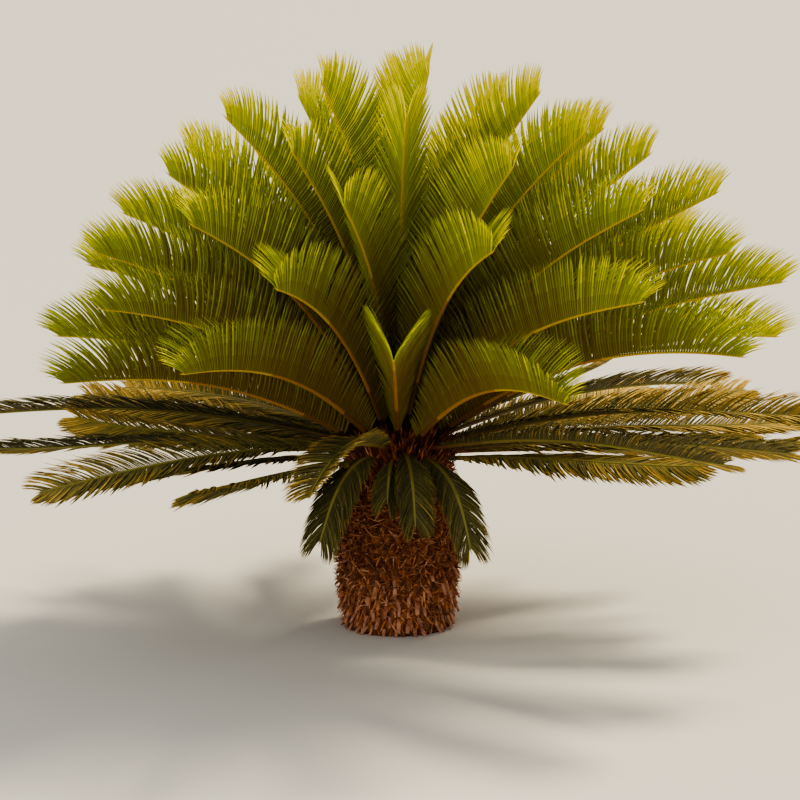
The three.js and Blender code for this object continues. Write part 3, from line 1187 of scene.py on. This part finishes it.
@dataclass(frozen=True)
class Barrel:
    """The trunk under its scales, with the relief of its leaf bases: a barrel with a dome on it.

    A leaf base falls off from its middle by base_slope, round the trunk and up it. What stands out less than
    pit_level is a pit.
    """

    segments: int = 238
    rows: int = 128
    dome_rows: int = 14
    base_slope: tuple[float, float] = (1.6, 0.75)
    base_relief: float = 8 * MM
    pit_level: float = 0.35
    rugged: float = 3 * MM
    rugged_scale: float = 45
    rugged_layers: int = 3
    rugged_fading: float = 1.0
    rugged_refining: float = 2.0
    rugged_mark: float = 0.35
    foot_fade: float = 12 * MM
    weld: float = 0.01 * MM
    dome_level: float = 0.3
    dome_fade: float = 0.4
    # Its near-black pits are painted shade; its raised middles are lighter.
    finish: BarkFinish = BarkFinish(
        "bark", painted_pit_shade=(0.030, 0.009, 0.003), base=(0.140, 0.042, 0.012), raised_middle=(0.340, 0.125, 0.037)
    )

    def stand_out(self, turn: float, z: float) -> float:
        """Finds how far the leaf base at a place stands out.

        Args:
            turn: an angle round the trunk.
            z: a height.

        Returns:
            0 in a pit, up to 1 on the leaf base's middle.
        """
        row = z / ROW_RISE
        column = turn / (2 * math.pi) * BASES_ROUND
        best = 0.0
        for near in (math.floor(row), math.floor(row) + 1):
            shift = column + 0.5 * (near % 2)
            aside = abs(shift - round(shift)) * self.base_slope[0]
            best = max(best, 1 - aside - abs(row - near) * self.base_slope[1])
        return best

    def profile(self) -> list[tuple[float, float]]:
        """Draws the outline that is spun.

        Returns:
            Radii and heights, from the middle of the foot to the dome's top.
        """
        rows = [(barrel_radius(z) - CORE_DEPTH, z) for z in np.linspace(0, SHOULDER_HEIGHT, self.rows)]
        for row in range(1, self.dome_rows):
            radius = (SHOULDER_RADIUS - CORE_DEPTH) * (1 - row / self.dome_rows)
            rows.append((radius, dome_height(radius) - CORE_DEPTH))
        return [(0, 0), *rows, (0, dome_height(0) - CORE_DEPTH)]

    def piece(self) -> bpy.types.Object:
        """Makes the bark.

        Returns:
            The object.
        """
        body = bmesh.new()
        corners = [body.verts.new((radius, 0, z)) for radius, z in self.profile()]
        edges = [body.edges.new(pair) for pair in zip(corners, corners[1:])]
        bmesh.ops.spin(
            body, geom=corners + edges, axis=(0, 0, 1), cent=(0, 0, 0), angle=2 * math.pi,
            steps=self.segments, use_merge=True, use_duplicate=False,
        )
        bmesh.ops.remove_doubles(body, verts=body.verts, dist=self.weld)
        bmesh.ops.recalc_face_normals(body, faces=body.faces)
        mark = body.verts.layers.float.new(self.finish.attribute)
        for corner in body.verts:
            self.roughen(corner, mark)
        for face in body.faces:
            face.smooth = True
        mesh = bpy.data.meshes.new("trunk_bark")
        body.to_mesh(mesh)
        body.free()
        return placed("trunk_bark", mesh, [self.finish])

    def roughen(self, corner: bmesh.types.BMVert, mark: bmesh.types.BMLayerItem) -> None:
        """Moves a point of the barrel out by the relief at its place, and marks how far.

        Args:
            corner: the point.
            mark: the layer that holds how far each point stands out.
        """
        x, y, z = corner.co
        radius = math.hypot(x, y)
        if z < MM or radius < MM:
            return
        on_barrel = z < SHOULDER_HEIGHT
        layers = (self.rugged_fading, self.rugged_refining, self.rugged_layers)
        rugged = noise.fractal(corner.co * self.rugged_scale, *layers)
        stand_out = self.stand_out(math.atan2(y, x), z) if on_barrel else self.dome_level
        fade = min(1.0, z / self.foot_fade) * (1.0 if on_barrel else self.dome_fade)
        move = (self.base_relief * (stand_out - self.pit_level) + self.rugged * rugged) * fade
        corner.co = Vector((x / radius * (radius + move), y / radius * (radius + move), z))
        corner[mark] = max(0.0, min(1.0, stand_out + self.rugged_mark * rugged))


@dataclass(frozen=True)
class LeafBases:
    """Rows of cut leaf bases, which point down and out at the foot and outwards higher up.

    A pair runs from the low rows to those above them. The edge, the rim, the cut's depth and the height from
    which a face belongs to the cut are shares of the bar that one base is shaped from.
    """

    chance: np.random.Generator
    width: float = 10 * MM
    depth: float = 5.5 * MM
    length: float = 30 * MM
    rows: int = 15
    first_row: float = 0.75
    low_rows: int = 3
    changing_rows: int = 4
    droop: tuple[float, float] = (-2.6, 0.15)
    lean: tuple[float, float] = (0.45, 0.3)
    shortening: tuple[float, float] = (1.1, 0.6)
    tan_share: tuple[float, float] = (0.9, 0)
    turn_spread: float = 0.035
    height_spread: float = 3.5 * MM
    droop_spread: float = 0.35
    size_spread: float = 0.2
    sink: float = 3 * MM
    edge: float = 0.22
    rim: float = 0.14
    cut_depth: float = 0.03
    cut_from: float = 0.9
    tip_taper: float = 0.8
    finishes: tuple[DryFinish, ...] = (
        DryFinish("stub_brown", (0.090, 0.026, 0.008), (0.300, 0.098, 0.029)),
        DryFinish("stub_cut", (0.150, 0.055, 0.024), (0.400, 0.175, 0.085)),
        DryFinish("low_stub_tan", (0.190, 0.060, 0.026), (0.680, 0.335, 0.200)),
        DryFinish("low_stub_cut", (0.360, 0.170, 0.110), (0.700, 0.430, 0.310)),
    )

    def shape(self) -> tuple[np.ndarray, np.ndarray, np.ndarray]:
        """Models one cut leaf base: a flat bar with rounded edges, drawn in at its end, with a dished cut.

        Returns:
            Its points, its triangles and their material numbers, 0 for the side and 1 for the cut.
        """
        bar = bmesh.new()
        bmesh.ops.create_cube(bar, size=1)
        bmesh.ops.translate(bar, verts=bar.verts, vec=(0, 0, 0.5))
        long_edges = [edge for edge in bar.edges if abs(edge.verts[0].co.z - edge.verts[1].co.z) > 0.5]
        bmesh.ops.bevel(
            bar, geom=long_edges, offset=self.edge, segments=1, profile=0.5, affect="EDGES", material=-1,
            offset_type="OFFSET",
        )
        end = [face for face in bar.faces if face.calc_center_median().z > self.cut_from]
        bmesh.ops.inset_region(bar, faces=end, thickness=self.rim, depth=-self.cut_depth)
        for face in bar.faces:
            face.material_index = int(face.calc_center_median().z > self.cut_from)
        for corner in bar.verts:
            taper = mix(1.0, self.tip_taper, corner.co.z)
            corner.co = Vector((corner.co.x * taper, corner.co.y * taper, corner.co.z))
        bmesh.ops.triangulate(bar, faces=bar.faces)
        bar.verts.index_update()
        points = np.array([corner.co[:] for corner in bar.verts])
        faces = np.array([[corner.index for corner in face.verts] for face in bar.faces])
        tints = np.array([face.material_index for face in bar.faces])
        bar.free()
        return points, faces, tints

    def piece(self) -> bpy.types.Object:
        """Makes all the rows.

        Returns:
            The object.
        """
        shape, faces, ends = self.shape()
        chance = self.chance
        growth = Growth()
        for row in range(self.rows):
            turn = (np.arange(BASES_ROUND) + 0.5 * (row % 2)) * 2 * math.pi / BASES_ROUND
            turn = turn + chance.normal(0, self.turn_spread, BASES_ROUND)
            z = (row + self.first_row) * ROW_RISE + chance.normal(0, self.height_spread, BASES_ROUND)
            point, out, side = bark_place(turn, z)
            risen = min(1, max(0, (row - self.low_rows) / self.changing_rows))
            droop = mix(*self.droop, risen) + chance.normal(0, self.droop_spread, BASES_ROUND)
            lean = chance.normal(0, mix(*self.lean, risen), BASES_ROUND)
            way = unit(out + UP * droop[:, None] + side * lean[:, None])
            flat = unit(side - way * np.sum(side * way, axis=1, keepdims=True))
            thick = np.cross(way, flat)
            scale = 1 + chance.normal(0, self.size_spread, (BASES_ROUND, 1, 1))
            step = (
                shape[None, :, 0:1] * flat[:, None] * self.width
                + shape[None, :, 1:2] * thick[:, None] * self.depth
                + shape[None, :, 2:3] * way[:, None] * (self.length * mix(*self.shortening, risen))
            )
            points = (point - out * self.sink)[:, None] + step * scale
            lift_clear(points)
            tan = chance.random(BASES_ROUND) < mix(*self.tan_share, risen)
            growth.add(points, faces, ends[None] + 2 * tan[:, None])
        return growth.piece("leaf_base_stubs", list(self.finishes))


@dataclass(frozen=True)
class Scales:
    """Dry papery scales that stand out of the trunk every way, with a collar of longer ones on the dome.

    A length, a half width and the heights are given as the least and the most, and rise and curl_up as a
    middle and a spread. Below low_from the scales are fewer and lighter and hang down, and this fades out
    over low_range above it. The collar's area and lift run from the dome's middle to its edge.
    """

    chance: np.random.Generator
    count: int = 5200
    form: StripForm = StripForm(widths=(0.75, 1.0, 0.7), ridge=0.18)
    length: tuple[float, float] = (17 * MM, 48 * MM)
    half: tuple[float, float] = (1.3 * MM, 3.2 * MM)
    heights: tuple[float, float] = (35 * MM, SHOULDER_HEIGHT + 12 * MM)
    lowest: float = 20 * MM
    low_from: float = 60 * MM
    low_range: float = 100 * MM
    thinned: float = 0.55
    turn_spread: float = 0.05
    height_spread: float = 4 * MM
    outward: float = 0.62
    rise: tuple[float, float] = (0.15, 0.75)
    low_drop: float = 1.6
    aside: float = 1.1
    curl_out: float = 0.35
    curl_up: tuple[float, float] = (0.1, 0.4)
    twist: float = 0.5
    sink: float = 2 * MM
    bend_share: float = 0.6
    curl_share: float = 0.4
    onward_share: float = 0.1
    tone_shares: tuple[float, ...] = (0.34, 0.36, 0.2, 0.1)
    dark_tones: int = 2
    collar_count: int = 1300
    collar_length: tuple[float, float] = (30 * MM, 85 * MM)
    collar_half: tuple[float, float] = (2.4 * MM, 4.6 * MM)
    collar_area: tuple[float, float] = (0.35, 1.0)
    collar_turn: float = 1.0
    collar_inset: float = 3 * MM
    collar_sink: float = 8 * MM
    collar_lift: tuple[float, float] = (1.4, 0.35)
    collar_lift_spread: float = 0.25
    collar_aside: float = 0.35
    collar_bend: float = 0.55
    collar_curl_out: float = 0.6
    collar_curl_aside: float = 0.4
    collar_curl_share: float = 0.5
    collar_tones: tuple[float, ...] = (0.5, 0.3, 0.13, 0.07)
    finishes: tuple[DryFinish, ...] = (
        DryFinish("scale_dark", (0.060, 0.016, 0.005), (0.170, 0.045, 0.012)),
        DryFinish("scale_red_brown", (0.180, 0.045, 0.012), (0.380, 0.105, 0.025)),
        DryFinish("scale_rust", (0.330, 0.098, 0.024), (0.600, 0.205, 0.055)),
        DryFinish("scale_tan", (0.460, 0.185, 0.075), (0.740, 0.395, 0.200)),
    )

    def piece(self) -> bpy.types.Object:
        """Makes the scales and the collar one piece.

        Returns:
            The object.
        """
        growth = Growth()
        self.coat(growth)
        self.collar(growth)
        return growth.piece("bark_scales", list(self.finishes))

    def coat(self, growth: Growth) -> None:
        """Adds the scales of the barrel.

        Args:
            growth: the mesh that they join.
        """
        chance = self.chance
        index = np.arange(self.count)
        turn = index * GOLDEN_ANGLE + chance.normal(0, self.turn_spread, self.count)
        z = mix(*self.heights, (index + 0.5) / self.count)
        z = z + chance.normal(0, self.height_spread, self.count)
        low = np.clip(1 - (z - self.low_from) / self.low_range, 0, 1)
        keep = chance.random(self.count) > low * self.thinned
        turn, z, low = turn[keep], z[keep], low[keep]
        count = len(z)
        point, out, side = bark_place(turn, np.clip(z, self.lowest, SHOULDER_HEIGHT))
        rise = chance.normal(*self.rise, count) - self.low_drop * low
        aside = chance.normal(0, self.aside, count)
        way = unit(out * self.outward + UP * rise[:, None] + side * aside[:, None])
        length = chance.uniform(*self.length, count)[:, None]
        curl = unit(way + out * self.curl_out + UP * chance.normal(*self.curl_up, count)[:, None])
        foot = point - out * self.sink
        bend = foot + way * length * self.bend_share
        tip = bend + curl * length * self.curl_share + way * length * self.onward_share
        hold_in(tip)
        width = unit(side + UP * chance.normal(0, self.twist, count)[:, None])
        half = chance.uniform(*self.half, count)
        points = self.form.grow(foot, bend, tip, width, half)
        lift_clear(points)
        tone = chance.choice(len(self.tone_shares), count, p=self.tone_shares)
        tone = np.where((chance.random(count) < low) & (tone < self.dark_tones), tone + 1, tone)
        pale_end = self.form.parts() == self.form.rings - 1
        tints = np.clip(tone[:, None] + pale_end[None], 0, len(self.finishes) - 1)
        growth.add(points, self.form.faces(), tints)

    def collar(self, growth: Growth) -> None:
        """Adds long scales on the dome, among the feet of the fronds.

        Args:
            growth: the mesh that they join.
        """
        chance = self.chance
        count = self.collar_count
        index = np.arange(count)
        turn = index * GOLDEN_ANGLE + self.collar_turn
        radius = SHOULDER_RADIUS * np.sqrt(mix(*self.collar_area, (index + 0.5) / count)) - self.collar_inset
        height = np.array([dome_height(r) for r in radius]) - self.collar_sink
        level = np.zeros(count)
        out = np.stack([np.cos(turn), np.sin(turn), level], axis=-1)
        side = np.stack([-np.sin(turn), np.cos(turn), level], axis=-1)
        foot = out * radius[:, None] + UP * height[:, None]
        lift = mix(*self.collar_lift, (radius / SHOULDER_RADIUS) ** 2)
        lift = lift + chance.normal(0, self.collar_lift_spread, count)
        aside = chance.normal(0, self.collar_aside, count)
        way = unit(out + UP * lift[:, None] + side * aside[:, None])
        length = chance.uniform(*self.collar_length, count)[:, None]
        bend = foot + way * length * self.collar_bend
        curl_aside = chance.normal(0, self.collar_curl_aside, count)
        curl = unit(out * self.collar_curl_out + UP + side * curl_aside[:, None])
        tip = bend + curl * length * self.collar_curl_share
        half = chance.uniform(*self.collar_half, count)
        points = self.form.grow(foot, bend, tip, side, half)
        tone = chance.choice(len(self.collar_tones), count, p=self.collar_tones)
        growth.add(points, self.form.faces(), tone[:, None])


@dataclass(frozen=True)
class Fibres:
    """Thin straw fibres that cross the scales. A pair is the least and the most."""

    chance: np.random.Generator
    count: int = 340
    form: StripForm = StripForm(widths=(1.0, 1.0, 0.8), ridge=0.5)
    half: float = 0.55 * MM
    heights: tuple[float, float] = (50 * MM, SHOULDER_HEIGHT - 20 * MM)
    length: tuple[float, float] = (25 * MM, 75 * MM)
    stand_off: float = 6 * MM
    bow: tuple[float, float] = (2 * MM, 7 * MM)
    tip_off: tuple[float, float] = (-2 * MM, 12 * MM)
    bend_share: float = 0.5
    steepness: float = 0.8
    outward: float = 0.2
    tilt: float = 0.3
    tone_shares: tuple[float, float] = (0.6, 0.4)
    finishes: tuple[DryFinish, ...] = (
        DryFinish("fibre_straw", (0.300, 0.150, 0.070), (0.560, 0.330, 0.175)),
        DryFinish("fibre_rust", (0.220, 0.090, 0.035), (0.420, 0.200, 0.090)),
    )

    def piece(self) -> bpy.types.Object:
        """Makes the fibres.

        Returns:
            The object.
        """
        chance = self.chance
        count = self.count
        turn = chance.uniform(0, 2 * math.pi, count)
        z = chance.uniform(*self.heights, count)
        point, out, side = bark_place(turn, z)
        swing = chance.uniform(0, 2 * math.pi, count)[:, None]
        way = unit(side * np.cos(swing) + UP * np.sin(swing) * self.steepness + out * self.outward)
        length = chance.uniform(*self.length, count)[:, None]
        foot = point + out * self.stand_off
        bend = foot + way * length * self.bend_share + out * chance.uniform(*self.bow, count)[:, None]
        tip = foot + way * length + out * chance.uniform(*self.tip_off, count)[:, None]
        hold_in(tip)
        points = self.form.grow(foot, bend, tip, UP + side * self.tilt, np.full(count, self.half))
        lift_clear(points)
        tone = chance.choice(len(self.tone_shares), count, p=self.tone_shares)
        growth = Growth()
        growth.add(points, self.form.faces(), tone[:, None])
        return growth.piece("bark_fibres", list(self.finishes))


@dataclass(frozen=True)
class Wool:
    """Tufts of rusty wool high on the trunk, the largest one in front. A pair is the least and the most."""

    chance: np.random.Generator
    patches: int = 9
    hairs: int = 380
    form: StripForm = StripForm(widths=(1.0, 0.8), ridge=0.5)
    half: float = 0.6 * MM
    length: tuple[float, float] = (9 * MM, 19 * MM)
    first_turn: float = -math.pi / 2 + 0.52
    turn_step: float = GOLDEN_ANGLE * 1.03
    height: float = SHOULDER_HEIGHT - 75 * MM
    height_spread: float = 16 * MM
    size: float = 26 * MM
    lesser: float = 0.75
    lesser_spread: float = 0.2
    swing: float = 0.9
    lift: float = 0.3
    bend_share: float = 0.6
    tip_share: float = 0.4
    stand_off: float = 5 * MM
    bulge: float = 9 * MM
    finishes: tuple[DryFinish, ...] = (
        DryFinish("wool_rust", (0.300, 0.085, 0.018), (0.520, 0.190, 0.045)),
        DryFinish("wool_brown", (0.160, 0.045, 0.012), (0.300, 0.110, 0.030)),
    )

    def piece(self) -> bpy.types.Object:
        """Makes the tufts.

        Returns:
            The object.
        """
        growth = Growth()
        for patch in range(self.patches):
            self.tuft(patch, growth)
        return growth.piece("crown_wool", list(self.finishes))

    def tuft(self, patch: int, growth: Growth) -> None:
        """Adds one tuft.

        Args:
            patch: its number, 0 for the one in front.
            growth: the mesh that it joins.
        """
        chance = self.chance
        turn = self.first_turn + patch * self.turn_step
        height = self.height + self.height_spread * vary(patch, Trait.WOOL_HEIGHT)
        size = self.size * (self.lesser + self.lesser_spread * vary(patch, Trait.WOOL_SIZE) if patch else 1)
        across = chance.normal(0, size / 2, self.hairs)
        above = chance.normal(0, size / 2, self.hairs)
        point, out, side = bark_place(turn + across / barrel_radius(height), height + above)
        swing = chance.normal(0, self.swing, (self.hairs, 2))
        way = unit(out + UP * (swing[:, :1] + self.lift) + side * swing[:, 1:])
        length = chance.uniform(*self.length, self.hairs)[:, None]
        bulge = np.exp(-(across**2 + above**2) / size**2)[:, None]
        foot = point + out * (self.stand_off + self.bulge * bulge)
        bend = foot + way * length * self.bend_share
        tip = bend + unit(way + UP * swing[:, 1:]) * length * self.tip_share
        points = self.form.grow(foot, bend, tip, side, np.full(self.hairs, self.half))
        tone = chance.choice(len(self.finishes), self.hairs)
        growth.add(points, self.form.faces(), tone[:, None])


@dataclass(frozen=True)
class Trunk:
    """The trunk: a barrel of old leaf bases, bristling with dry scales, with wool below the crown."""

    slot: str = "bark"
    seed: int = SEED

    def build(self) -> None:
        """Makes the trunk's pieces, the bark in place of the trunk's node."""
        chance = np.random.default_rng(self.seed)
        settle(Barrel().piece(), self.slot, ["trunk"])
        for coat in (LeafBases(chance), Scales(chance), Fibres(chance), Wool(chance)):
            settle(coat.piece(), self.slot, [])


@dataclass(frozen=True)
class SoftLamp:
    """A soft square lamp that faces the crown."""

    name: str
    place: tuple[float, float, float]
    size: float
    power: float
    colour: Colour

    def build(self, aim: tuple[float, float, float]) -> None:
        """Hangs the lamp.

        Args:
            aim: the point that it faces.
        """
        light = bpy.data.lights.new(self.name, "AREA")
        light.size = self.size
        light.energy = self.power
        light.color = self.colour
        made = bpy.data.objects.new(self.name, light)
        made.location = self.place
        made.rotation_euler = (Vector(aim) - Vector(self.place)).to_track_quat("-Z", "Y").to_euler()
        bpy.context.scene.collection.objects.link(made)


@dataclass(frozen=True)
class KeyLight:
    """The warm key light from behind on the right, soft as through a wide screen."""

    name: str = "key"
    comes_from: tuple[float, float, float] = (0.65, 0.7, 1.0)
    spread: float = math.radians(14)
    power: float = 5.4
    colour: Colour = (1.0, 0.86, 0.62)

    def build(self) -> None:
        """Sets the light."""
        light = bpy.data.lights.new(self.name, "SUN")
        light.angle = self.spread
        light.energy = self.power
        light.color = self.colour
        made = bpy.data.objects.new(self.name, light)
        made.rotation_euler = Vector(self.comes_from).to_track_quat("Z", "Y").to_euler()
        bpy.context.scene.collection.objects.link(made)


@dataclass(frozen=True)
class Studio:
    """The camera at the photograph's viewing angle, a plain pale floor and soft light."""

    camera_distance: float = 6.77
    camera_height: float = 1.75
    pitch: float = math.radians(9.4)
    lens: float = 112.7
    sensor: float = 36
    shift: float = 0.0025
    view_end: float = 5000.0
    floor_size: float = 4000.0
    floor_finish: FloorFinish = FloorFinish("floor_pale", (0.62, 0.60, 0.56))
    aim: tuple[float, float, float] = (0, 0, 0.85)
    fill: SoftLamp = SoftLamp("fill", (-3.2, -4.6, 3.4), size=3.5, power=96, colour=(1.0, 0.95, 0.86))
    key: KeyLight = KeyLight()
    air_colour: Colour = (1.0, 0.98, 0.94)
    air_strength: float = 0.6
    look: str = "AgX - Medium High Contrast"

    def camera(self) -> None:
        """Sets the camera in front of the palm, a little above it, tilted down."""
        view = bpy.data.cameras.new("camera")
        view.lens = self.lens
        view.sensor_width = self.sensor
        view.shift_x = self.shift
        view.clip_end = self.view_end
        made = bpy.data.objects.new("camera", view)
        made.location = (0, -self.camera_distance, self.camera_height)
        made.rotation_euler = (math.pi / 2 - self.pitch, 0, 0)
        bpy.context.scene.collection.objects.link(made)
        bpy.context.scene.camera = made

    def floor(self) -> None:
        """Lays the floor."""
        ground = bmesh.new()
        bmesh.ops.create_grid(ground, x_segments=1, y_segments=1, size=self.floor_size / 2)
        mesh = bpy.data.meshes.new("floor")
        ground.to_mesh(mesh)
        ground.free()
        placed("floor", mesh, [self.floor_finish])

    def air(self) -> None:
        """Fills the studio with an even light."""
        world = bpy.data.worlds.new("studio_air")
        world.use_nodes = True
        background = world.node_tree.nodes["Background"]
        background.inputs["Color"].default_value = (*self.air_colour, 1)
        background.inputs["Strength"].default_value = self.air_strength
        bpy.context.scene.world = world

    def build(self) -> None:
        """Sets up the whole studio."""
        self.camera()
        self.floor()
        self.fill.build(self.aim)
        self.key.build()
        self.air()
        bpy.context.scene.view_settings.look = self.look


def main() -> None:
    """Builds the studio and the palm."""
    logging.basicConfig(level=logging.INFO, format="%(message)s")
    Studio().build()
    Trunk().build()
    Crown().build()


if __name__ == "__main__":
    main()
